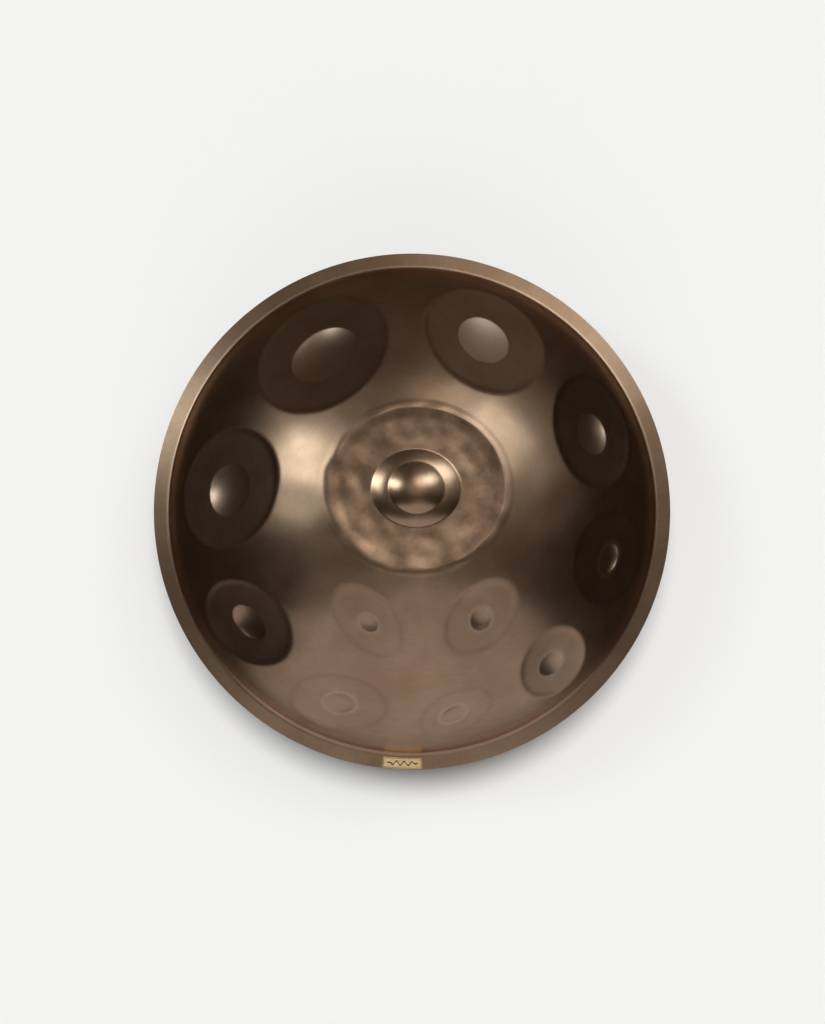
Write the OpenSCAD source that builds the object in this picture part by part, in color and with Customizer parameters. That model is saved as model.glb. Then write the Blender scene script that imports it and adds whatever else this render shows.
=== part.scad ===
// Handpan: two drawn steel half shells glued together at their flanges.
// The upper shell carries the ding and eleven tone fields, the lower shell carries the sound port.
// It lies in playing position: the axis is Z, the ding is on top, and Z = 0 is the surface it rests on.

/* [Rim] */
// Outer diameter of the rim
rim_d = 530; // [520:1:545]
// Width of the flat flange
flange_w = 12.7; // [11.5:0.1:15]
// Thickness of the shells' sheet steel
sheet_t = 1.2; // [0.9:0.1:1.5]
// Thickness of the glue between the flanges
bond_t = 0.8; // [0.4:0.1:1.5]
// How far the glue stays back from both edges of the flange
bond_inset = 1; // [0.5:0.1:2]

/* [Shell form] */
// Radius of the crown, the middle of each shell
crown_r = 380; // [360:1:400]
// Radius of the shoulder, from the crown down to the rim
shoulder_r = 230; // [222:1:240]
// Slope at which the crown runs into the shoulder
crown_slope = 20; // [18:0.5:22]
// Radius of the fold between shoulder and flange
fold_r = 6; // [4:0.5:8]

/* [Ding] */
// Bearing of the ding's centre, counterclockwise from +X
ding_bearing = 76; // [60:1:120]
// Distance of the ding's centre from the axis
ding_offset = 19; // [10:0.5:21]
// Radius of the ding's flat field
ding_r = 86; // [80:1:88]
// Height of the step round the field
ding_step = 1.5; // [0.5:0.1:2.5]
// Radius of the boss, the wide dome on the field
boss_r = 41; // [36:0.5:46]
// Rise of the boss up to the crest's edge
boss_rise = 4.8; // [3.5:0.1:7]
// Radius of the crest, the small dome on the boss
crest_r = 26; // [22:0.5:30]
// Rise of the crest
crest_rise = 5.2; // [3.5:0.1:7]

/* [Tone fields] */
// Each note, largest first: [bearing, distance from the axis, half width, dimple radius]
notes = [
    [120, 180, 72, 32],
    [67, 184.5, 66, 27],
    [174, 183.5, 63, 26],
    [23, 197, 58, 20],
    [214.5, 200.5, 51, 18],
    [346, 203.5, 46, 14],
    [249.5, 207.5, 44, 15],
    [312.5, 209, 40, 14],
    [282, 208.5, 36, 12],
    [302, 128.5, 35, 12],
    [249, 120.5, 34, 9]
]; // bearing 0 to 360, distance 115 to 210, half width 30 to 72, dimple radius 8 to 32
// Depth of a dimple as a share of its radius
dimple_share = 0.2; // [0.1:0.01:0.25]

/* [Sound port] */
// Inner radius of the port's neck
neck_r = 52.5; // [45:0.5:56]
// Height of the neck's upper edge above the resting face
neck_h = 28; // [20:1:40]
// Radius of the bend from the resting face into the neck
bend_r = 7; // [5:0.5:8]
// Outer radius of the flat ring that the pan rests on
land_r = 66; // [65:0.5:72]

/* [Maker's plate] */
// Bearing of the plate's middle
plate_bearing = 267.8; // [200:0.1:340]
// Length of the plate along the rim
plate_l = 40; // [30:1:50]
// Width of the plate across the flange
plate_w = 11.2; // [8:0.1:11.3]
// Thickness of the plate
plate_t = 0.6; // [0.4:0.1:1]
// Thickness of the adhesive film under it
film_t = 0.2; // [0.1:0.05:0.3]

/* [Hidden] */

$fn = 180;

// How far a cutting tool reaches past what it cuts.
reach = 20;
rim_r = rim_d / 2;
// Distance from the axis at which the fold runs into the flange.
fold_x = rim_r - flange_w;

// A shell's form is a crown arc, a shoulder arc and a fold arc, each running smoothly into the next.
// The form's own Z = 0 is the flange's outer face, and both shells share one form.
shoulder_x = (crown_r - shoulder_r) * sin(crown_slope);
shoulder_z = fold_r - sqrt(pow(shoulder_r + fold_r, 2) - pow(fold_x - shoulder_x, 2));
crown_z = shoulder_z - (crown_r - shoulder_r) * cos(crown_slope);
fold_slope = asin((fold_x - shoulder_x) / (shoulder_r + fold_r));

// The field of the ding lies this far below the crown of the form.
ding_z = ding_step - chord_depth(crown_r, ding_r);
// Distance of the boss ball's centre below the field, and the radii of both balls.
boss_drop = (pow(boss_r, 2) - pow(crest_r, 2) - pow(boss_rise, 2)) / (2 * boss_rise);
boss_ball = sqrt(pow(boss_drop, 2) + pow(boss_r, 2));
crest_ball = cap_ball(crest_r, crest_rise);

// Heights above the resting face.
lower_flange_z = crown_z + sqrt(pow(crown_r, 2) - pow(land_r, 2));
bond_z = lower_flange_z + sheet_t;
upper_flange_z = bond_z + bond_t + sheet_t;

// Slope of the form at a distance from the axis, and its radius of curvature along the rim.
function on_crown(distance) = distance < crown_r * sin(crown_slope);
function form_slope(distance) =
    on_crown(distance) ? asin(distance / crown_r) : asin((distance - shoulder_x) / shoulder_r);
function form_round(distance) = distance / sin(form_slope(distance));

// Depth of a chord of this half width in a ball, and the ball that has a cap of this radius and rise.
function chord_depth(ball, half) = ball - sqrt(pow(ball, 2) - pow(half, 2));
function cap_ball(r, rise) = (pow(r, 2) + pow(rise, 2)) / (2 * rise);

// Puts its children on the form, with Z along the outward normal.
module on_form(bearing, distance) {
    start = on_crown(distance) ? [0, 0, crown_z] : [shoulder_x, 0, shoulder_z];
    rotate([0, 0, bearing]) translate(start) rotate([0, form_slope(distance), 0])
        translate([0, 0, on_crown(distance) ? crown_r : shoulder_r]) children();
}

// Half section of the space below a shell's outer face moved in by depth, down to the flange.
module form_section(depth) {
    far = 2 * crown_r;
    toe = (fold_r + depth) * tan(fold_slope);
    intersection() {
        translate([0, crown_z]) circle(r = crown_r - depth);
        polygon([[0, crown_z], far * [sin(crown_slope), cos(crown_slope)] + [0, crown_z], [0, far]]);
        translate([0, -depth]) square([rim_r, far]);
    }
    intersection() {
        translate([shoulder_x, shoulder_z]) circle(r = shoulder_r - depth);
        translate([0, -depth]) square([rim_r, far]);
    }
    difference() {
        polygon([[fold_x, fold_r], [fold_x, -depth], [fold_x - toe, -depth]]);
        translate([fold_x, fold_r]) circle(r = fold_r + depth);
    }
}

// What the hammer takes off the form at one note: all above the flat field, and the dimple in it.
module note_tool(note, depth) {
    sink = chord_depth(form_round(note[1]), note[2]) + depth;
    dimple_ball = cap_ball(note[3], dimple_share * note[3]);
    on_form(note[0], note[1]) translate([0, 0, -sink]) {
        cylinder(r = note[2] + reach, h = reach);
        translate([0, 0, dimple_ball + depth - dimple_share * note[3]]) sphere(r = dimple_ball + depth);
    }
}

// A cap of a ball, cut to the radius of its rim.
module cap(ball, r, centre_z) {
    intersection() {
        translate([0, 0, centre_z]) sphere(r = ball);
        translate([0, 0, -reach]) cylinder(r = r, h = 2 * reach);
    }
}

// The ding's raised flat field, with the boss on it and the crest on the boss.
module ding_body(depth) {
    on_form(ding_bearing, ding_offset) translate([0, 0, ding_z]) {
        translate([0, 0, -depth - reach]) cylinder(r = ding_r - depth, h = reach);
        cap(boss_ball - depth, boss_r, -boss_drop);
        cap(crest_ball - depth, crest_r, boss_rise + crest_rise - crest_ball);
    }
}

// The upper shell's outer face, moved in by depth, as a solid.
module top_form(depth) {
    difference() {
        rotate_extrude() form_section(depth);
        for (note = notes) note_tool(note, depth);
        on_form(ding_bearing, ding_offset) translate([0, 0, ding_z - depth])
            cylinder(r = ding_r + reach, h = reach);
    }
    ding_body(depth);
}

module top_shell() {
    color([0.42, 0.32, 0.25]) translate([0, 0, upper_flange_z]) difference() {
        union() {
            top_form(0);
            translate([0, 0, -sheet_t]) cylinder(r = rim_r, h = sheet_t);
        }
        top_form(sheet_t);
    }
}

// The lower shell's outer face, moved in by depth, as a solid: the form upside down, pressed flat
// where the pan rests.
module bottom_form(depth) {
    intersection() {
        translate([0, 0, lower_flange_z]) mirror([0, 0, 1]) rotate_extrude() form_section(depth);
        translate([0, 0, depth]) cylinder(r = rim_r, h = bond_z);
    }
}

// The bend from the flat ring into the port, and the port's neck.
module neck() {
    rotate_extrude() {
        intersection() {
            difference() {
                translate([neck_r + bend_r, bend_r]) circle(r = bend_r);
                translate([neck_r + bend_r, bend_r]) circle(r = bend_r - sheet_t);
            }
            translate([neck_r, 0]) square(bend_r);
        }
        translate([neck_r, bend_r]) square([sheet_t, neck_h - bend_r]);
    }
}

module bottom_shell() {
    color([0.38, 0.29, 0.23]) {
        difference() {
            union() {
                bottom_form(0);
                translate([0, 0, lower_flange_z]) cylinder(r = rim_r, h = sheet_t);
            }
            bottom_form(sheet_t);
            translate([0, 0, -reach]) cylinder(r = neck_r + bend_r, h = 2 * reach);
        }
        neck();
    }
}

module rim_bond() {
    color([0.16, 0.14, 0.13]) translate([0, 0, bond_z]) difference() {
        cylinder(r = rim_r - bond_inset, h = bond_t);
        translate([0, 0, -1]) cylinder(r = fold_x + bond_inset, h = bond_t + 2);
    }
}

// A strip of the plate's outline, curved along the middle of the flange.
module plate_strip(z, thickness) {
    middle_r = (fold_x + rim_r) / 2;
    sweep = plate_l / middle_r * 180 / PI;
    translate([0, 0, z]) rotate([0, 0, plate_bearing - sweep / 2]) rotate_extrude(angle = sweep)
        translate([middle_r - plate_w / 2, 0]) square([plate_w, thickness]);
}

module plate_adhesive() {
    color([0.7, 0.68, 0.6]) plate_strip(upper_flange_z, film_t);
}

module maker_plate() {
    color([0.78, 0.6, 0.3]) plate_strip(upper_flange_z + film_t, plate_t);
}

top_shell();
bottom_shell();
rim_bond();
maker_plate();
plate_adhesive();
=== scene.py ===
import math

import bmesh
import bpy
import numpy as np
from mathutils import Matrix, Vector
from mathutils.geometry import delaunay_2d_cdt


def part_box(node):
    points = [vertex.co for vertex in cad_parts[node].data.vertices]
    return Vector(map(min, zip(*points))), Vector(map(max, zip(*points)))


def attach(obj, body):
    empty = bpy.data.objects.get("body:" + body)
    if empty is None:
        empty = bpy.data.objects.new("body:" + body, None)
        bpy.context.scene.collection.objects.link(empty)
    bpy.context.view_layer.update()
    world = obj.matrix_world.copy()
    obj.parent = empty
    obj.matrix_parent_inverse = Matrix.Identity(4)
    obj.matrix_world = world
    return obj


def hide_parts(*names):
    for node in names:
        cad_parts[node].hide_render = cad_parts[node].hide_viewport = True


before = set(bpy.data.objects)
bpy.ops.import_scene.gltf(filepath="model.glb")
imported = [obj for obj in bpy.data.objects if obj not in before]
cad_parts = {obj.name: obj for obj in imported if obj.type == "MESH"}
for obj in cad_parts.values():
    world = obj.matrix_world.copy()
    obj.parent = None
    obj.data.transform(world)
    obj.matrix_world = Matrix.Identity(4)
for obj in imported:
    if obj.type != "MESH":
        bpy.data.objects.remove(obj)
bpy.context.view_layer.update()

# ---------------------------------------------------------------- sizes, in millimetres

MM = 0.001
TURN = 2 * math.pi


def frame_box(node):
    """A CAD node's lowest and highest corner, in millimetres."""
    low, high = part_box(node)
    return np.array(low) / MM, np.array(high) / MM


upper_low, upper_high = frame_box("top_shell")
_, lower_high = frame_box("bottom_shell")

SHEET = 1.2
FLANGE_W = 12.7
RIM_R = (upper_high[0] - upper_low[0]) / 2
FOLD_X = RIM_R - FLANGE_W
UPPER_Z = upper_low[2] + SHEET  # the upper flange's outer face
LOWER_Z = lower_high[2] - SHEET  # the lower flange's outer face
FLANGE_MIDDLE = 259  # a ring of points halfway across the flange
RIM_ROUND = 0.6  # how far in the rounding of the rim's edge begins

# The press form that both shells share: a crown arc, a shoulder arc and a fold into the flange.
CROWN_R, SHOULDER_R, FOLD_R = 380.0, 230.0, 6.0
CROWN_SLOPE = math.radians(20)
SHOULDER_X = (CROWN_R - SHOULDER_R) * math.sin(CROWN_SLOPE)
SHOULDER_Z = FOLD_R - math.sqrt((SHOULDER_R + FOLD_R) ** 2 - (FOLD_X - SHOULDER_X) ** 2)
CROWN_Z = SHOULDER_Z - (CROWN_R - SHOULDER_R) * math.cos(CROWN_SLOPE)
FOLD_SLOPE = math.asin((FOLD_X - SHOULDER_X) / (SHOULDER_R + FOLD_R))
CROWN_EDGE = CROWN_R * math.sin(CROWN_SLOPE)
WALL_FOOT = FOLD_X - FOLD_R * math.sin(FOLD_SLOPE)

# Sound port in the lower shell: its neck, the bend into it, and the flat land that the pan rests on.
NECK_R, NECK_H, BEND_R, LAND_R = 52.5, 28.0, 7.0, 66.0
LAND_RINGS = (64, 61.5)
NECK_RINGS = (14, 21)
LIP_ROUND = 0.3

FLANGE_LEAN = 0.085  # fall of the upper flange per millimetre outwards
PLATE_BEARING = math.radians(267.8)
AROUND = 288  # points in a full ring of a shell

# The ding: its field, the boss on it and the crest on the boss, as ovals seen from above.
# Each oval is centre x, centre y, half length, half width and turn in degrees.
DING_FIELD = (4.5, 18.5, 90, 82.5, 0)
BOSS = (4, 18, 44.5, 38.5, 0)
CREST = (4.3, 18.2, 28, 25, 0)
DING_STEP, BOSS_RISE, CREST_RISE = 0.3, 4.4, 5.8

# Each tone field, its dimple, the dimple's depth and how bare its metal is. The bare amount is partly
# painted light: it is larger for dimples meant to look brightly lit and smaller for those meant to look
# shaded.
NOTES = [
    ((-90, 155.5, 71, 54, 37), (-88, 154, 36, 25, 36), 5.6, 0.2),
    ((72.5, 169.5, 65, 50, 143), (71.5, 169, 27.5, 22, 139), 4.8, 1.0),
    ((-182.5, 20, 62, 48.5, 71), (-182.5, 18.5, 26.5, 20.5, 78), 4.6, 0.25),
    ((181, 77.5, 58, 38.5, 102), (180, 75, 21.5, 15, 106), 3.5, 0.3),
    ((-165, -114, 51, 36, 139), (-163.5, -114, 20.5, 12.5, 133), 3.2, 0.05),
    ((197, -49.5, 46, 34, 72), (198, -50, 16, 9, 71), 2.9, 0.1),
    ((-73, -194, 48, 27.5, 171), (-72.5, -195, 15.5, 10, 174), 1.9, 0.1),
    ((141.5, -154.5, 39.5, 28.5, 52), (140, -155, 14.5, 9.5, 47), 1.8, 0.2),
    ((44, -204, 38, 20.5, 25), (41.5, -206, 13.5, 7.5, 26), 1.7, 0.1),
    ((67.5, -109, 42.5, 27.5, 47), (68, -109.5, 12, 10, 59), 1.7, 0.1),
    ((-43.5, -112.5, 41, 25.5, 133), (-42.5, -114, 10, 7.6, 140), 1.2, 0.1),
]

# ---------------------------------------------------------------- shape of the sheet


def smooth(start, end, x):
    """0 before start, 1 after end, and a smooth step between."""
    t = np.clip((x - start) / (end - start), 0, 1)
    return t * t * (3 - 2 * t)


def upper_of(a, b, round_mm):
    """The higher of two surfaces, with the crease between them rounded."""
    return 0.5 * (a + b + np.sqrt((a - b) ** 2 + round_mm**2))


def circle(count, shift=0.0):
    """Points evenly round a circle of radius 1, turned by a share of the step between two."""
    a = (np.arange(count) + shift) * TURN / count
    return np.stack([np.cos(a), np.sin(a)], 1)


def bell(x, width):
    """A smooth bump: 1 where x is 0, and nearly 0 two widths away."""
    return np.exp(-((x / width) ** 2))


def form_z(r):
    """Height of the form over the flange's outer face, at distance r from the axis."""
    crown = CROWN_Z + np.sqrt(CROWN_R**2 - np.minimum(r, CROWN_EDGE) ** 2)
    out = np.clip(r, CROWN_EDGE, WALL_FOOT)
    shoulder = SHOULDER_Z + np.sqrt(SHOULDER_R**2 - (out - SHOULDER_X) ** 2)
    in_fold = np.clip(FOLD_X - r, 0, FOLD_X - WALL_FOOT)
    fold = FOLD_R - np.sqrt(FOLD_R**2 - in_fold**2)
    return np.where(r < CROWN_EDGE, crown, np.where(r < WALL_FOOT, shoulder, fold))


class Oval:
    """An oval seen from above. reach() is 0 at its centre and 1 on its outline."""

    def __init__(self, x, y, length, width, turn=0):
        a = math.radians(turn)
        axes = np.array([[math.cos(a), -math.sin(a)], [math.sin(a), math.cos(a)]])
        self.centre = np.array([x, y], float)
        self.matrix = axes @ np.diag([float(length), float(width)]) @ axes.T
        self.mean = math.sqrt(max(length * width, 1e-9))

    def scaled(self, k):
        """The same oval k times as large."""
        other = Oval(0, 0, 1, 1)
        other.centre, other.matrix, other.mean = self.centre, self.matrix * k, self.mean * k
        return other

    def reach(self, x, y):
        """How far out points lie, as a share of the way from the centre to the outline."""
        inverse = np.linalg.inv(self.matrix)
        dx, dy = x - self.centre[0], y - self.centre[1]
        return np.hypot(inverse[0, 0] * dx + inverse[0, 1] * dy, inverse[1, 0] * dx + inverse[1, 1] * dy)

    def ring(self, count):
        """Points round the outline."""
        return self.centre + circle(count) @ self.matrix.T


class Field:
    """A nearly flat field hammered into the form. It meets the form along its outline.

    inset sinks it, lift raises it, and tilt lowers the side towards the ding.
    """

    def __init__(self, oval, inset, tilt, lift=0.0):
        self.oval = Oval(*oval)
        edge = self.oval.ring(96)
        heights = form_z(np.hypot(edge[:, 0], edge[:, 1]))
        self.terms = np.linalg.lstsq(self.basis(edge[:, 0], edge[:, 1]), heights, rcond=None)[0]
        self.inset, self.tilt, self.lift = inset, tilt, lift
        towards = np.array(DING_FIELD[:2]) - self.oval.centre
        self.towards = towards / max(np.linalg.norm(towards), 1e-9)

    def basis(self, x, y):
        """A plane's three terms and a saddle's two."""
        u = (x - self.oval.centre[0]) / self.oval.mean
        v = (y - self.oval.centre[1]) / self.oval.mean
        return np.column_stack([np.ones_like(u), u, v, u * u - v * v, u * v])

    def height(self, x, y):
        """Height of the field over the flange's outer face."""
        flat = self.basis(x, y) @ self.terms
        dx, dy = x - self.oval.centre[0], y - self.oval.centre[1]
        inward = (dx * self.towards[0] + dy * self.towards[1]) / self.oval.mean
        return flat + self.lift - self.inset - self.tilt * inward

    def cosine(self):
        """Cosine of the field's mean slope."""
        return 1 / math.hypot(1, self.terms[1] / self.oval.mean, self.terms[2] / self.oval.mean)


def waves(seed, count, shortest, longest, slope):
    """Random gentle waves: the uneven surface that a hammer leaves. slope is their mean slope."""
    rng = np.random.default_rng(seed)
    length = np.exp(rng.uniform(math.log(shortest), math.log(longest), count))
    bearing = rng.uniform(0, TURN, count)
    phase = rng.uniform(0, TURN, count)
    height = slope * length / TURN / math.sqrt(count / 2)

    def at(x, y):
        """Height of the waves at each point."""
        total = np.zeros_like(x)
        for k, b, p, h in zip(TURN / length, bearing, phase, height):
            total += h * np.sin(k * (x * math.cos(b) + y * math.sin(b)) + p)
        return total

    return at


DOME_WAVES = waves(3, 26, 34, 90, 0.016)
FIELD_WAVES = waves(11, 26, 18, 44, 0.012)
DING_WAVES = waves(29, 26, 18, 50, 0.040)

# What a tone field of 60 mm mean radius is sunk and tilted by. Smaller ones take their share.
USUAL_FIELD, USUAL_INSET, USUAL_TILT = 60, 0.8, 0.7

ding_field = Field(DING_FIELD, 0, 0, DING_STEP)
boss, crest = Oval(*BOSS), Oval(*CREST)
tone_fields = []
dimples = []
for outline, hollow, depth, bare in NOTES:
    size = math.sqrt(outline[2] * outline[3]) / USUAL_FIELD
    tone_fields.append(Field(outline, USUAL_INSET * size, USUAL_TILT * size))
    dimples.append((Oval(*hollow), depth, bare))


def cap(reach, radius, rise):
    """Height of a ball's cap over its rim, negative outside it."""
    ball = (radius**2 + rise**2) / (2 * rise)
    out = np.minimum(reach * radius, 0.98 * ball)
    return np.sqrt(ball**2 - out**2) - (ball - rise)


def boss_height(x, y):
    """The boss and the crest on it, over the ding's field. The boss steepens towards its edge."""
    inner, outer = math.tan(math.radians(9)), math.tan(math.radians(24))
    crest_crease, foot_crease = 0.08, 0.12
    start = crest.mean / boss.mean
    q = np.clip(boss.reach(x, y), start, 1.15)
    t = (q - start) / (1 - start)
    fall = inner * t + (outer - inner) * t * t / 2
    whole = (inner + outer) / 2
    low = (whole - fall) * BOSS_RISE / whole
    high = BOSS_RISE + cap(crest.reach(x, y), crest.mean, CREST_RISE)
    return upper_of(upper_of(low, high, crest_crease), 0 * low, foot_crease)


def flange_drop(x, y, r):
    """The flange leans down a little towards the rim, except under the maker's plate."""
    plate_end, lean_start = 0.085, 0.125
    from_plate = np.abs((np.arctan2(y, x) - PLATE_BEARING + math.pi) % TURN - math.pi)
    return FLANGE_LEAN * np.clip(r - FOLD_X, 0, None) * smooth(plate_end, lean_start, from_plate)


def surface(x, y):
    """Height of the upper shell's outer face over its flange, and the finish at each point, including
    painted shade along the field creases and painted highlights in pale rings round small dimples.
    """
    waves_end, still_from = 215, 243
    crease_width, field_step = 2.6, 4.5
    lip_at, lip_width, lip_strength, small, large = 1.12, 1.5, 0.3, 13.5, 15
    ridge_at, ridge_width, ridge_rise, ridge_swing, ridge_bearing = 0.965, 0.022, 0.16, 0.13, 0.7

    r = np.hypot(x, y)
    z = form_z(r) + DOME_WAVES(x, y) * (1 - smooth(waves_end, still_from, r)) - flange_drop(x, y, r)
    rough = FIELD_WAVES(x, y)
    pale = np.zeros_like(x)
    crease = np.zeros_like(x)
    for field, (dimple, deep, bare) in zip(tone_fields, dimples):
        q = field.oval.reach(x, y)
        # Crease mask: a soft line along each field's outline. The material darkens it as painted shade in
        # the crease, partly also as darker patina there.
        crease = np.maximum(crease, bell((q - 1) * field.oval.mean, crease_width))
        half = field_step / field.oval.mean
        weight = 1 - smooth(1 - half, 1 + half, q)
        flat = field.height(x, y) + rough * 0.6
        z = z * (1 - weight) + flat * weight

        # The dimple, rounded at its edge. Round the small ones a pale ring is painted into the colour. It
        # is a painted highlight where a raised lip would catch the light, though the shape has no lip.
        q = dimple.reach(x, y)
        hollow = cap(q, dimple.mean, deep)
        edge = 0.09 + 0.004 * dimple.mean
        z = z - upper_of(hollow, 0 * hollow, edge) * (1 - smooth(1.2, 1.6, q)) / field.cosine()
        lip_glint = lip_strength * (1 - smooth(small, large, dimple.mean))
        lip = lip_glint * bell((q - lip_at) * dimple.mean, lip_width)
        pale = np.maximum(pale, np.maximum((1 - smooth(0.97, 1.03, q)) * bare, lip))

    # The ding: a dished field with a ridge just inside its outline, and the boss in its middle.
    q = ding_field.oval.reach(x, y)
    weight = 1 - smooth(0.93, 1.07, q)
    dish = 1 - smooth(0.82, 0.95, q)
    flat = ding_field.height(x, y) - dish + DING_WAVES(x, y) * smooth(0.5, 0.65, q)
    z = z * (1 - weight) + (flat + boss_height(x, y) * (1 - smooth(0.65, 0.75, q))) * weight
    side = np.arctan2(y - DING_FIELD[1], x - DING_FIELD[0])
    z = z + (ridge_rise + ridge_swing * np.cos(side - ridge_bearing)) * bell(q - ridge_at, ridge_width)
    on_boss = 1 - smooth(0.99, 1.01, boss.reach(x, y))
    patina = (1 - smooth(0.95, 1.04, q)) * (1 - on_boss)
    return z, {"patina": patina, "pale": pale, "polish": on_boss, "crease": crease}


def normals(x, y):
    """Unit normals of the upper shell's outer face."""
    h = 0.2
    dzdx = (surface(x + h, y)[0] - surface(x - h, y)[0]) / (2 * h)
    dzdy = (surface(x, y + h)[0] - surface(x, y - h)[0]) / (2 * h)
    n = np.stack([-dzdx, -dzdy, np.ones_like(x)], 1)
    return n / np.linalg.norm(n, axis=1, keepdims=True)


# ---------------------------------------------------------------- meshes


def new_object(name, vertices, faces, masks=None):
    """A mesh object from vertices in millimetres, smooth shaded, with its masks as attributes."""
    mesh = bpy.data.meshes.new(name)
    corners = [tuple(map(int, face)) for face in faces]
    mesh.from_pydata((np.asarray(vertices, float) * MM).tolist(), [], corners)
    for mask, values in (masks or {}).items():
        layer = mesh.attributes.new(mask, "FLOAT", "POINT")
        layer.data.foreach_set("value", np.asarray(values, np.float32))
    bm = bmesh.new()
    bm.from_mesh(mesh)
    bmesh.ops.recalc_face_normals(bm, faces=bm.faces)
    bm.to_mesh(mesh)
    bm.free()
    mesh.polygons.foreach_set("use_smooth", [True] * len(mesh.polygons))
    mesh.update()
    piece = bpy.data.objects.new(name, mesh)
    bpy.context.scene.collection.objects.link(piece)
    return piece


def band(first, second):
    """Quads between two rings of vertex numbers of the same length."""
    n = len(first)
    return [(first[i], first[(i + 1) % n], second[(i + 1) % n], second[i]) for i in range(n)]


def graded(length, fine, coarse):
    """Steps along a length, fine at both ends and up to coarse in the middle."""
    growth = 1.3
    steps, x = [], 0.0
    while x < length:
        step = min(fine + (growth - 1) * x, fine + (growth - 1) * (length - x), coarse)
        x += max(step, fine * 0.5)
        steps.append(x)
    return np.array(steps) * (length / steps[-1])


def nested_rings(ovals, fine, coarse):
    """Outlines between neighbouring ovals, close together near each of them."""
    rings = []
    for inner, outer in zip(ovals, ovals[1:]):
        gap = outer.mean - inner.mean
        for s in graded(gap, fine, coarse) / gap:
            ring = Oval(0, 0, 1, 1)
            ring.centre = inner.centre * (1 - s) + outer.centre * s
            ring.matrix = inner.matrix * (1 - s) + outer.matrix * s
            rings.append(ring)
    return rings


class Sheet:
    """Points of the upper shell's outer face, seen from above, with their faces."""

    def __init__(self):
        self.points, self.faces, self.count = [], [], 0

    def add(self, points):
        """Adds points and gives their numbers."""
        points = np.atleast_2d(points)
        numbers = np.arange(self.count, self.count + len(points))
        self.points.append(points)
        self.count += len(points)
        return numbers

    def patch(self, ovals, segments, fine=0.75, coarse=3.2):
        """Nested rings from the first oval's centre out to the last oval. Gives the last ring."""
        start = ovals[0].centre
        middle = self.add(start)[0]
        point = Oval(start[0], start[1], 1e-6, 1e-6)
        last = None
        for ring in nested_rings([point, *ovals], fine, coarse):
            numbers = self.add(ring.ring(segments))
            if last is None:
                self.faces += [(middle, numbers[i], numbers[(i + 1) % segments]) for i in range(segments)]
            else:
                self.faces += band(last, numbers)
            last = numbers
        return last

    def fill(self, loops, border, spacing, holes):
        """Triangles between the loops and the border, with loose points that stay clear of the holes."""
        clear = spacing * 0.6
        radius = np.hypot(*self.all()[border[0]])
        loose = [np.zeros((1, 2))]
        for k in range(1, int((radius - 2) / spacing) + 1):
            loose.append(circle(round(TURN * k), 0.5 * (k % 2)) * (k * spacing))
        loose = np.concatenate(loose)
        keep = np.hypot(loose[:, 0], loose[:, 1]) < radius - clear
        for hole in holes:
            keep &= hole.reach(loose[:, 0], loose[:, 1]) > 1 + clear / hole.mean
        numbers = [self.add(loose[keep]), *loops, border]
        wanted = np.concatenate(numbers)
        local, edges, start = self.all()[wanted], [], len(numbers[0])
        for loop in numbers[1:]:
            n = len(loop)
            edges += [(start + i, start + (i + 1) % n) for i in range(n)]
            start += n
        _, _, found, origin, _, _ = delaunay_2d_cdt([Vector(p) for p in local], edges, [], 0, 1e-7)
        corners = wanted[np.array([ids[0] for ids in origin])[np.array(found)]]
        middle = self.all()[corners].mean(1)
        outside = np.ones(len(corners), bool)
        for hole in holes:
            outside &= hole.reach(middle[:, 0], middle[:, 1]) > 1
        self.faces += corners[outside].tolist()

    def all(self):
        """Every point so far, as one array."""
        if len(self.points) > 1:
            self.points = [np.concatenate(self.points)]
        return self.points[0]


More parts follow.
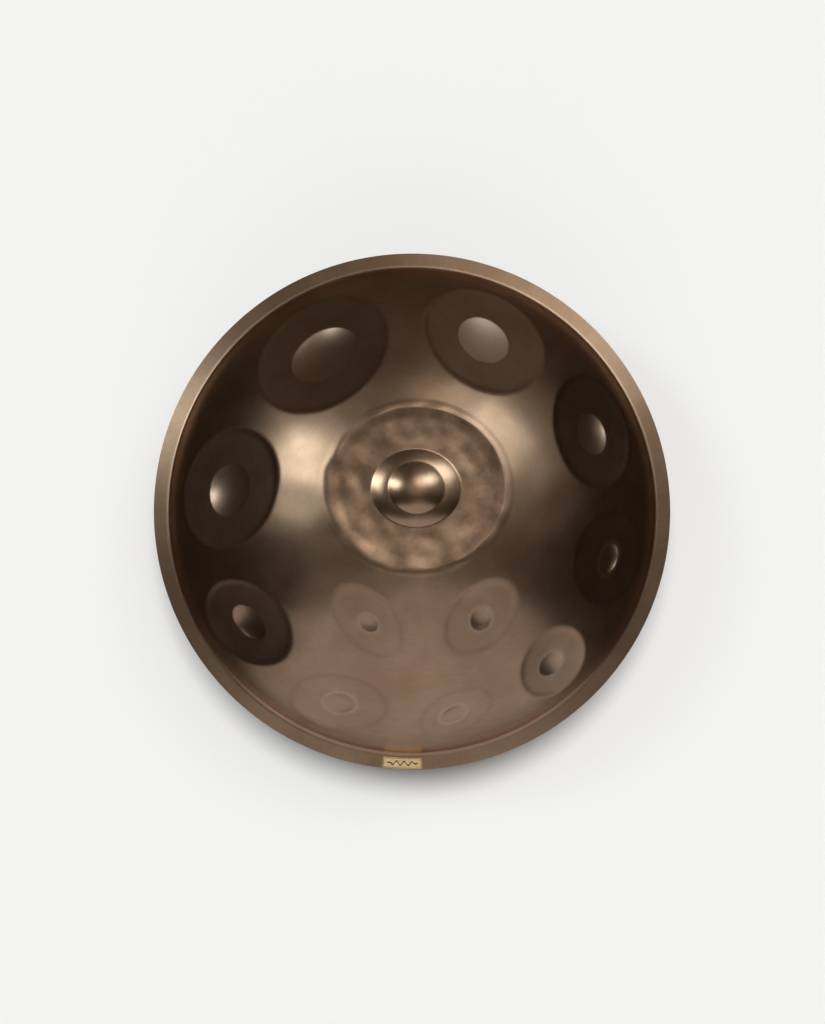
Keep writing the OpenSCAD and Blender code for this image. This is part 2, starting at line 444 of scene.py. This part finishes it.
def make_top_shell():
    """The upper shell: hammered outer face, flange, rim edge and the plain inner face."""
    note_margin, ding_margin, note_step, loose_step = 5.2, 7, 2.4, 3.6
    sheet = Sheet()
    loops, holes = [], []
    for field, (dimple, _, _) in zip(tone_fields, dimples):
        outer = field.oval.scaled(1 + note_margin / field.oval.mean)
        segments = 8 * round(TURN * field.oval.mean / note_step / 8)
        loops.append(sheet.patch([dimple, field.oval, outer], segments))
        holes.append(outer)
    outer = ding_field.oval.scaled(1 + ding_margin / ding_field.oval.mean)
    ridge = ding_field.oval.scaled(0.97)
    loops.append(sheet.patch([crest, boss, ridge, ding_field.oval, outer], 216, 0.8, 3.0))
    holes.append(outer)

    unit = circle(AROUND)
    shoulder_rings = [244.6, 246.2, 247.4, 248.4, 249.4, 250.4, 251.3, FOLD_X]
    flange_rings = [255, 258.5, 262, RIM_R - RIM_ROUND]
    rings = [sheet.add(unit * r) for r in shoulder_rings + flange_rings]
    sheet.fill(loops, rings[0], loose_step, holes)
    for inner, outer_ring in zip(rings, rings[1:]):
        sheet.faces += band(inner, outer_ring)

    xy = sheet.all()
    z, finish = surface(xy[:, 0], xy[:, 1])
    outside = np.column_stack([xy, z])

    # Round the rim's edge, then back along the inner face, which follows the outer one.
    back = []
    for inward, drop in ((0.1, 0.15), (0, 0.4), (0, 0.8), (0.1, 1.05), (RIM_ROUND, SHEET)):
        lean = flange_drop(unit[:, 0], unit[:, 1], RIM_R) * (1 - drop / SHEET)
        back.append(np.column_stack([unit * (RIM_R - inward), -drop - lean]))
    inner_rings = [258.5, 254, FOLD_X, 250, 248, 246, 243] + list(np.arange(237, 4, -6.2))
    for r in inner_rings:
        x, y = unit[:, 0] * r, unit[:, 1] * r
        inside = np.column_stack([x, y, surface(x, y)[0]]) - SHEET * normals(x, y)
        inside[:, 2] = np.where(r > FOLD_X, -SHEET, inside[:, 2])
        back.append(inside)
    faces, last, count = list(sheet.faces), rings[-1], len(outside)
    for _ in back:
        numbers = np.arange(count, count + AROUND)
        faces += band(last, numbers)
        last, count = numbers, count + AROUND
    zero = np.zeros(1)
    middle = np.array([[0, 0, surface(zero, zero)[0][0] - SHEET]])
    faces += [(last[i], last[(i + 1) % AROUND], count) for i in range(AROUND)]

    vertices = np.concatenate([outside, *back, middle]) + [0, 0, UPPER_Z]
    pad = np.zeros(len(vertices) - len(outside))
    masks = {name: np.concatenate([values, pad]) for name, values in finish.items()}
    return new_object("top_shell_steel", vertices, faces, masks)


def arc(centre, radius, start, end, steps):
    """Points along an arc, from start to end in degrees."""
    a = np.radians(np.linspace(start, end, steps))
    return np.stack([centre[0] + radius * np.cos(a), centre[1] + radius * np.sin(a)], 1)


def revolve(name, profile, uneven):
    """A ring-shaped solid from a closed profile of [distance from the axis, height].

    uneven(x, y, z) says how far each point is pushed outwards.
    """
    unit = circle(AROUND)
    profile = np.asarray(profile, float)
    turned = np.roll(profile, -1, 0) - np.roll(profile, 1, 0)
    outward = np.stack([turned[:, 1], -turned[:, 0]], 1)
    outward /= np.linalg.norm(outward, axis=1, keepdims=True)
    vertices = []
    for (r, z), (nr, nz) in zip(profile, outward):
        flat = r * unit
        push = uneven(flat[:, 0], flat[:, 1], z)[:, None]
        vertices.append(np.hstack([flat + push * nr * unit, z + push * nz]))
    count = len(profile)
    numbers = np.arange(count * AROUND).reshape(count, AROUND)
    faces = []
    for i in range(count):
        faces += band(numbers[i], numbers[(i + 1) % count])
    return new_object(name, np.concatenate(vertices), faces)


def shell_line(depth, step):
    """[distance, height] along the form moved in by depth, from the flange to the land's edge."""
    fold = arc((FOLD_X, FOLD_R), FOLD_R + depth, 270, 270 - math.degrees(FOLD_SLOPE), 7)
    foot, crown_edge = 90 - math.degrees(FOLD_SLOPE), 90 - math.degrees(CROWN_SLOPE)
    steps = int(SHOULDER_R * (FOLD_SLOPE - CROWN_SLOPE) / step)
    shoulder = arc((SHOULDER_X, SHOULDER_Z), SHOULDER_R - depth, foot, crown_edge, steps)
    land_edge = math.degrees(math.acos(LAND_R / CROWN_R))
    steps = int(CROWN_R * math.radians(land_edge - crown_edge) / step)
    crown = arc((0, CROWN_Z), CROWN_R - depth, crown_edge, land_edge, steps)
    return np.concatenate([fold, shoulder[1:], crown[1:]])


def make_bottom_shell():
    """The lower shell: the form upside down, with the flat land and the sound port's neck."""
    outer, inner = shell_line(0, 4.5), shell_line(SHEET, 8)
    outer[:, 1] = LOWER_Z - outer[:, 1]
    inner[:, 1] = LOWER_Z - inner[:, 1]
    outer[-1, 1], inner[-1, 1] = 0.0, SHEET
    bend_x = NECK_R + BEND_R
    back_r = NECK_R + SHEET
    rounding = ((RIM_ROUND, SHEET), (0.1, SHEET - 0.15), (0, 0.8), (0, 0.4), (0.1, 0.15), (RIM_ROUND, 0))
    rim = [(RIM_R - inward, LOWER_Z + up) for inward, up in rounding] + [(FLANGE_MIDDLE, LOWER_Z)]
    land = [(r, 0) for r in LAND_RINGS]
    neck_out = list(arc((bend_x, BEND_R), BEND_R, 270, 180, 9)) + [(NECK_R, z) for z in NECK_RINGS]
    lip = [(NECK_R, NECK_H - LIP_ROUND), (NECK_R + LIP_ROUND, NECK_H),
           (back_r - LIP_ROUND, NECK_H), (back_r, NECK_H - LIP_ROUND)]
    neck_in = [(back_r, z) for z in NECK_RINGS[::-1]]
    neck_in += list(arc((bend_x, BEND_R), BEND_R - SHEET, 180, 270, 9))
    neck_in += [(r, SHEET) for r in LAND_RINGS[::-1]]
    flange = [(FOLD_X, LOWER_Z + SHEET), (FLANGE_MIDDLE, LOWER_Z + SHEET)]
    profile = rim + list(outer) + land + neck_out + lip + neck_in + list(inner[::-1])[:-1] + flange

    def uneven(x, y, z):
        """Other waves than the upper shell's, fading out towards the land and the flange."""
        other_waves = 900
        r = np.hypot(x, y)
        return DOME_WAVES(x + other_waves, y) * smooth(72, 100, r) * (1 - smooth(225, 240, r))

    return revolve("bottom_shell_steel", profile, uneven)


def make_glue_line():
    """The glue between the flanges, with a slightly hollow and uneven edge."""
    low, high = frame_box("rim_bond")
    out, inside = high[0], FOLD_X + 1
    z0, z1 = low[2], high[2]
    middle = (z0 + z1) / 2
    hollow, half_height = 0.25, 0.15
    profile = [(out, z0), (out - hollow, middle - half_height), (out - hollow, middle + half_height),
               (out, z1), (FLANGE_MIDDLE, z1), (inside, z1), (inside + 0.2, middle), (inside, z0),
               (FLANGE_MIDDLE, z0)]
    creep = waves(5, 14, 18, 60, 0.02)

    def uneven(x, y, z):
        """The outer edge draws back by different amounts between the two flanges."""
        edge = smooth(out - 0.3, out, np.hypot(x, y))
        return -np.abs(creep(x, y)) * 1.2 * edge * (z0 < z < z1)

    return revolve("glue_line", profile, uneven)


# ---------------------------------------------------------------- maker's plate


def make_plate():
    """A brass plate without lettering, curved along the flange, with an engraved border and wave."""
    low, high = frame_box("maker_plate")
    base, top = low[2], high[2]
    middle_r = (FOLD_X + RIM_R) / 2
    length, width, edge = 40.0, 11.2, 0.25
    wave_height, wave_length, line, engraving = 2.0, 8.0, 1.25, 0.14
    nu, nv = 241, 69
    u = np.linspace(-length / 2, length / 2, nu)
    v = np.linspace(-width / 2, width / 2, nv)
    u, v = np.meshgrid(u, v, indexing="ij")
    from_side = np.minimum(length / 2 - np.abs(u), width / 2 - np.abs(v))
    bevel = edge * (1 - np.sqrt(np.clip(1 - (1 - np.minimum(from_side / edge, 1)) ** 2, 0, 1)))
    border = smooth(0.55, 0.7, from_side) * smooth(1.15, 1.0, from_side)
    wave_v = wave_height * np.sin(u * TURN / wave_length) * smooth(15.5, 8, np.abs(u))
    wave = smooth(0.72, 0.48, np.abs(v - wave_v) / line) * smooth(15.6, 15.2, np.abs(u))
    cut = np.maximum(border, wave)
    z = top - bevel - engraving * cut
    r = middle_r + v
    angle = PLATE_BEARING - u / middle_r
    upper = np.column_stack([(r * np.cos(angle)).ravel(), (r * np.sin(angle)).ravel(), z.ravel()])
    numbers = np.arange(nu * nv).reshape(nu, nv)
    rim = np.concatenate([numbers[:-1, 0], numbers[-1, :-1], numbers[:0:-1, -1], numbers[0, :0:-1]])
    lower = upper[rim] * [1, 1, 0] + [0, 0, base]
    faces = [
        (numbers[i, j], numbers[i + 1, j], numbers[i + 1, j + 1], numbers[i, j + 1])
        for i in range(nu - 1)
        for j in range(nv - 1)
    ]
    below = np.arange(len(rim)) + nu * nv
    faces += band(rim, below) + [tuple(below)]
    masks = {"engraved": np.concatenate([cut.ravel(), np.zeros(len(rim))])}
    vertices = np.concatenate([upper, lower])
    return new_object("plate_brass", vertices, faces, masks)


# ---------------------------------------------------------------- materials


def feed(tree, node, values):
    """Gives a node's inputs their values: sockets are linked, numbers are set."""
    for name, value in values.items():
        if isinstance(value, bpy.types.NodeSocket):
            tree.links.new(value, node.inputs[name])
        else:
            node.inputs[name].default_value = value


def add(tree, kind, values=None, **settings):
    """A new node with these input values and settings."""
    made = tree.nodes.new(kind)
    for name, value in settings.items():
        setattr(made, name, value)
    feed(tree, made, values or {})
    return made


def compute(tree, operation, *values):
    """The output of a Math node."""
    return add(tree, "ShaderNodeMath", dict(enumerate(values)), operation=operation).outputs[0]


def vector(tree, operation, *values):
    """The output of a Vector Math node: a number from DOT_PRODUCT and LENGTH, otherwise a vector."""
    made = add(tree, "ShaderNodeVectorMath", dict(enumerate(values)), operation=operation)
    return made.outputs["Value" if operation in ("DOT_PRODUCT", "LENGTH") else "Vector"]


def ramp(tree, value, low, high, to_low=0.0, to_high=1.0):
    """value mapped smoothly from low..high to to_low..to_high."""
    given = {"Value": value, "From Min": low, "From Max": high, "To Min": to_low, "To Max": to_high}
    return add(tree, "ShaderNodeMapRange", given, interpolation_type="SMOOTHSTEP").outputs["Result"]


def noise(tree, point, scale, detail, roughness=0.55):
    """Cloudy noise from 0 to 1."""
    given = {"Vector": point, "Scale": scale, "Detail": detail, "Roughness": roughness}
    return add(tree, "ShaderNodeTexNoise", given).outputs["Fac"]


def mix_colour(tree, factor, first, second, blend="MIX"):
    """Two colours mixed by a factor."""
    made = add(tree, "ShaderNodeMix", data_type="RGBA", blend_type=blend)
    feed(tree, made, {0: factor, 6: first, 7: second})
    return made.outputs[2]


def mix_value(tree, factor, first, second):
    """Two numbers mixed by a factor."""
    made = add(tree, "ShaderNodeMix", data_type="FLOAT")
    feed(tree, made, {0: factor, 2: first, 3: second})
    return made.outputs[0]


def rgba(r, g, b):
    """An opaque colour."""
    return (r, g, b, 1.0)


def new_material(name):
    """A material with a Principled shader. Gives it, its tree, the shader and the object's coordinates."""
    material = bpy.data.materials.new(name)
    material.use_nodes = True
    tree = material.node_tree
    point = add(tree, "ShaderNodeTexCoord").outputs["Object"]
    return material, tree, tree.nodes["Principled BSDF"], point


def bumped(tree, height, strength, distance, normal=None):
    """The surface normal tipped by a height, over a normal of its own if one is given."""
    given = {"Height": height, "Strength": strength, "Distance": distance}
    if normal is not None:
        given["Normal"] = normal
    return add(tree, "ShaderNodeBump", given).outputs[0]


def attribute(tree, name):
    """One of the mesh's masks."""
    return add(tree, "ShaderNodeAttribute", attribute_name=name).outputs["Fac"]


def polar(tree, point):
    """Distance from the axis and bearing of a point, as two values."""
    parts = add(tree, "ShaderNodeSeparateXYZ", {0: point}).outputs
    flat = add(tree, "ShaderNodeCombineXYZ", {"X": parts["X"], "Y": parts["Y"]}).outputs[0]
    return vector(tree, "LENGTH", flat), compute(tree, "ARCTAN2", parts["Y"], parts["X"])


def stretched(tree, bearing, distance, along, out):
    """Noise coordinates on the disc, with this many cells per radian and per metre outwards."""
    given = {"X": compute(tree, "MULTIPLY", bearing, along), "Y": compute(tree, "MULTIPLY", distance, out)}
    return add(tree, "ShaderNodeCombineXYZ", given).outputs[0]


def bronze_steel(name, top):
    """Heat-tinted brushed steel: cloudy bronze brown, with brush marks round and across the flange. On the
    upper shell it also has painted shade in the field creases and painted highlights round the small
    dimples.
    """
    flange_start, flange_full = 0.2508, 0.2532
    flange_rough, flange_shade, flange_grain = 0.38, 0.95, 0.8
    flange_tip = 0.13 if top else 0.0
    bronze_dark, bronze_light = rgba(0.48, 0.31, 0.2), rgba(0.56, 0.375, 0.25)
    patina_dark, patina_light = rgba(0.28, 0.182, 0.118), rgba(0.45, 0.297, 0.196)
    crease_shade_brown, bare_steel_and_painted_glint = rgba(0.2, 0.12, 0.075), rgba(0.88, 0.69, 0.56)
    material, tree, shader, point = new_material(name)
    distance, bearing = polar(tree, point)

    clouds = ramp(tree, noise(tree, point, 16, 4), 0.35, 0.68)
    colour = mix_colour(tree, clouds, bronze_dark, bronze_light)
    rough = ramp(tree, noise(tree, point, 55, 5, 0.6), 0.3, 0.7, 0.29, 0.315)
    if top:
        stains = ramp(tree, noise(tree, point, 42, 6, 0.62), 0.35, 0.68)
        tint = mix_colour(tree, stains, patina_dark, patina_light)
        patina, pale, polish = (attribute(tree, mask) for mask in ("patina", "pale", "polish"))
        colour = mix_colour(tree, patina, colour, tint)
        # Painted shade: each tone field's outline is darkened. It stands for the shade in its crease,
        # partly also for darker patina there.
        dark = compute(tree, "MULTIPLY", attribute(tree, "crease"), 0.16)
        colour = mix_colour(tree, dark, colour, crease_shade_brown)
        # Pale bare steel in the dimples, partly painted light in how pale each one is, and painted
        # highlights in the rings round the small ones.
        colour = mix_colour(tree, pale, colour, bare_steel_and_painted_glint)
        for mask, mask_rough in ((patina, 0.3), (pale, 0.55), (polish, 0.22)):
            rough = mix_value(tree, mask, rough, mask_rough)

    # Brush marks: short strokes round the axis, and on the flange strokes across it instead.
    round_marks = noise(tree, stretched(tree, bearing, distance, 12.0, 420.0), 1.0, 4, 0.6)
    cross_marks = noise(tree, stretched(tree, bearing, distance, 160.0, 40.0), 1.0, 4, 0.6)
    on_flange = ramp(tree, distance, flange_start, flange_full)
    marks = mix_value(tree, on_flange, round_marks, cross_marks)
    grain = compute(tree, "MULTIPLY", compute(tree, "SUBTRACT", marks, 0.5), 0.02)
    rough = mix_value(tree, on_flange, compute(tree, "ADD", rough, grain), flange_rough)
    shade = ramp(tree, marks, 0.3, 0.7, 0.95, 1.03)
    shade = compute(tree, "MULTIPLY", shade, mix_value(tree, on_flange, 1.0, flange_shade))

    # The flange's brush marks tip its sheen outwards.
    outward = vector(tree, "NORMALIZE", vector(tree, "MULTIPLY", point, (1.0, 1.0, 0.0)))
    tip = compute(tree, "MULTIPLY", on_flange, flange_tip)
    tipped = add(tree, "ShaderNodeVectorMath", {0: outward, "Scale": tip}, operation="SCALE").outputs[0]
    normal = add(tree, "ShaderNodeNewGeometry").outputs["Normal"]
    leaning = vector(tree, "NORMALIZE", vector(tree, "ADD", normal, tipped))
    feed(tree, shader, {
        "Base Color": mix_colour(tree, 1.0, colour, shade, "MULTIPLY"),
        "Roughness": rough,
        "Metallic": 1.0,
        "Normal": bumped(tree, noise(tree, point, 120, 2), 0.3, 0.00012, leaning),
        "Tangent": add(tree, "ShaderNodeTangent", direction_type="RADIAL", axis="Z").outputs[0],
        "Anisotropic": compute(tree, "MULTIPLY", on_flange, flange_grain),
        "Anisotropic Rotation": 0.25,
    })
    return material


def dark_glue():
    """Cured dark glue with small pits."""
    material, tree, shader, point = new_material("cured_glue")
    pits = noise(tree, point, 700, 4)
    feed(tree, shader, {
        "Base Color": mix_colour(tree, pits, rgba(0.018, 0.014, 0.012), rgba(0.07, 0.055, 0.045)),
        "Roughness": ramp(tree, pits, 0.3, 0.7, 0.4, 0.62),
        "Normal": bumped(tree, pits, 0.4, 0.0002),
    })
    return material


def engraved_brass():
    """Brushed brass with dark paint in the engraving."""
    material, tree, shader, point = new_material("plate_brass")
    marks = noise(tree, vector(tree, "MULTIPLY", point, (120.0, 2600.0, 600.0)), 1.0, 4, 0.6)
    stain = ramp(tree, noise(tree, point, 260, 4), 0.35, 0.7)
    brass = mix_colour(tree, stain, rgba(0.78, 0.54, 0.26), rgba(0.88, 0.67, 0.38))
    filled = ramp(tree, attribute(tree, "engraved"), 0.25, 0.6)
    bare = compute(tree, "SUBTRACT", 1.0, filled)
    feed(tree, shader, {
        "Base Color": mix_colour(tree, filled, brass, rgba(0.035, 0.017, 0.01)),
        "Metallic": compute(tree, "MULTIPLY", bare, 0.6),
        "Roughness": ramp(tree, marks, 0.25, 0.75, 0.26, 0.42),
        "Normal": bumped(tree, marks, 0.25, 0.00005),
    })
    return material


def adhesive_film():
    """A pale double-sided film, slightly cloudy."""
    material, tree, shader, point = new_material("adhesive_film")
    cloud = noise(tree, point, 500, 3)
    feed(tree, shader, {
        "Base Color": mix_colour(tree, cloud, rgba(0.5, 0.46, 0.38), rgba(0.68, 0.64, 0.55)),
        "Roughness": ramp(tree, cloud, 0.3, 0.7, 0.45, 0.65),
    })
    return material


def pale_floor():
    """A matt, nearly white floor."""
    material, tree, shader, point = new_material("studio_floor")
    cloud = noise(tree, point, 3, 3)
    feed(tree, shader, {
        "Base Color": mix_colour(tree, cloud, rgba(0.8, 0.796, 0.79), rgba(0.81, 0.806, 0.8)),
        "Roughness": 1.0,
        "Specular IOR Level": 0.0,
    })
    return material


# ---------------------------------------------------------------- studio


def direction(from_zenith, bearing):
    """Unit vector at this angle from straight up, towards this bearing, both in degrees."""
    z, b = math.radians(from_zenith), math.radians(bearing)
    return Vector((math.sin(z) * math.cos(b), math.sin(z) * math.sin(b), math.cos(z)))


def panel(tree, ray, facing, half_u, half_v, soft, raised=0.0):
    """A soft-edged light panel as seen along a ray, 1 on it and 0 off it.

    Its half sizes, its soft edge and how far it is raised are tangents of angles.
    """
    facing = facing.normalized()
    side = Vector((0, 0, 1)).cross(facing).normalized()
    top = facing.cross(side)

    def along(axis):
        """The ray's part along an axis."""
        return vector(tree, "DOT_PRODUCT", ray, tuple(axis))

    ahead = along(facing)
    front = compute(tree, "MAXIMUM", ahead, 0.001)
    inside = ramp(tree, ahead, 0.0, 0.05)
    for axis, half, middle in ((side, half_u, 0.0), (top, half_v, raised)):
        tangent = compute(tree, "SUBTRACT", compute(tree, "DIVIDE", along(axis), front), middle)
        distance = compute(tree, "ABSOLUTE", tangent)
        inside = compute(tree, "MULTIPLY", inside, ramp(tree, distance, half - soft, half + soft, 1.0, 0.0))
    return inside


def glow(tree, ray, facing, inner, outer):
    """A round soft light: 1 within the inner angle of its middle and 0 beyond the outer one."""
    cosine = vector(tree, "DOT_PRODUCT", ray, tuple(facing))
    return ramp(tree, cosine, math.cos(math.radians(outer)), math.cos(math.radians(inner)))


def make_world():
    """A pale backdrop for the camera, and a dim studio with soft panels for what metal mirrors."""
    world = bpy.data.worlds.new("studio")
    bpy.context.scene.world = world
    world.use_nodes = True
    tree = world.node_tree
    tree.nodes.clear()
    ray = add(tree, "ShaderNodeTexCoord").outputs["Generated"]
    # Each light: its kind, where it lies, its size and its colour.
    lights = [
        (glow, direction(6, 60), (5, 52), (0.036, 0.031, 0.025)),
        (glow, direction(9, 75), (4, 22), (0.27, 0.262, 0.255)),
        (glow, direction(24, 63), (3, 15), (1.45, 1.39, 1.33)),
        (glow, direction(46, 153), (4, 28), (0.2, 0.187, 0.17)),
        (panel, direction(40, 155), (0.1, 0.18, 0.08), (4.4, 5.1, 5.4)),
        (glow, direction(42, 42), (8, 38), (0.18, 0.168, 0.155)),
        (panel, direction(36, 45), (0.14, 0.16, 0.08), (2.2, 2.55, 2.75)),
        (glow, direction(56, 95), (4, 30), (0.05, 0.046, 0.042)),
        (glow, direction(76, 68), (3, 22), (0.055, 0.052, 0.05)),
        (glow, direction(108, 90), (10, 60), (0.045, 0.032, 0.023)),
        (glow, direction(180, 0), (20, 60), (0.3, 0.29, 0.28)),
        (panel, Vector((0, -1, 0)), (1.06, 1.24, 0.1, 0.74), (0.42, 0.42, 0.43)),
        (panel, Vector((0.2, -1, 0)), (0.45, 0.75, 0.3, 2.5), (0.22, 0.212, 0.205)),
    ]
    black, dim, backdrop = rgba(0, 0, 0), rgba(0.018, 0.014, 0.0105), rgba(0.87, 0.87, 0.855)
    total = mix_colour(tree, 0.0, dim, black)
    for kind, facing, size, colour in lights:
        lit = mix_colour(tree, kind(tree, ray, facing, *size), black, rgba(*colour))
        total = mix_colour(tree, 1.0, total, lit, "ADD")

    seen = add(tree, "ShaderNodeLightPath").outputs["Is Camera Ray"]
    shown = mix_colour(tree, seen, total, backdrop)
    background = add(tree, "ShaderNodeBackground", {"Color": shown, "Strength": 1.0})
    out = add(tree, "ShaderNodeOutputWorld")
    tree.links.new(background.outputs[0], out.inputs["Surface"])


def make_key_light():
    """A broad soft light from above and a little behind. Metal doesn't mirror it."""
    data = bpy.data.lights.new("key", "SUN")
    data.energy = 2.45
    data.angle = math.radians(20)
    data.color = (1.0, 0.998, 0.985)
    light = bpy.data.objects.new("key", data)
    light.rotation_mode = "QUATERNION"
    light.rotation_quaternion = direction(11, 90).to_track_quat("Z", "Y")
    light.visible_glossy = False
    bpy.context.scene.collection.objects.link(light)


def make_floor():
    """A wide flat floor that metal doesn't mirror."""
    size = 9.0
    mesh = bpy.data.meshes.new("studio_floor")
    corners = [(-size, -size, 0), (size, -size, 0), (size, size, 0), (-size, size, 0)]
    mesh.from_pydata(corners, [], [(0, 1, 2, 3)])
    floor = bpy.data.objects.new("studio_floor", mesh)
    floor.data.materials.append(pale_floor())
    floor.visible_glossy = False
    bpy.context.scene.collection.objects.link(floor)


def make_camera():
    """Looks down the pan's axis from 2.4 m, from a little towards the plate's side."""
    scene = bpy.context.scene
    data = bpy.data.cameras.new("camera")
    camera = bpy.data.objects.new("camera", data)
    scene.collection.objects.link(camera)
    distance, lean = 2.4, math.radians(2)
    rim_share = 0.5045  # the rim's width as a share of the picture's height
    data.sensor_width = 36
    data.lens = data.sensor_width * distance * rim_share / (2 * RIM_R * MM)
    target = Vector((0.0005, -0.0015, UPPER_Z * MM))
    camera.location = target + Vector((0, -math.sin(lean), math.cos(lean))) * distance
    camera.rotation_euler = (lean, 0, 0)
    data.clip_start, data.clip_end = 0.05, 50
    scene.camera = camera


# ---------------------------------------------------------------- putting it together


def dress(piece, node, material):
    """Makes a piece stand for a CAD node, on the pan's one body."""
    piece.data.materials.append(material)
    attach(piece, "root")
    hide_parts(node)


make_camera()
make_world()
make_key_light()
make_floor()
bpy.context.scene.view_settings.view_transform = "Standard"

dress(make_top_shell(), "top_shell", bronze_steel("bronze_steel_top", True))
dress(make_bottom_shell(), "bottom_shell", bronze_steel("bronze_steel_bottom", False))
dress(make_glue_line(), "rim_bond", dark_glue())
dress(make_plate(), "maker_plate", engraved_brass())

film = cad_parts["plate_adhesive"]
film.data.materials.clear()
film.data.materials.append(adhesive_film())
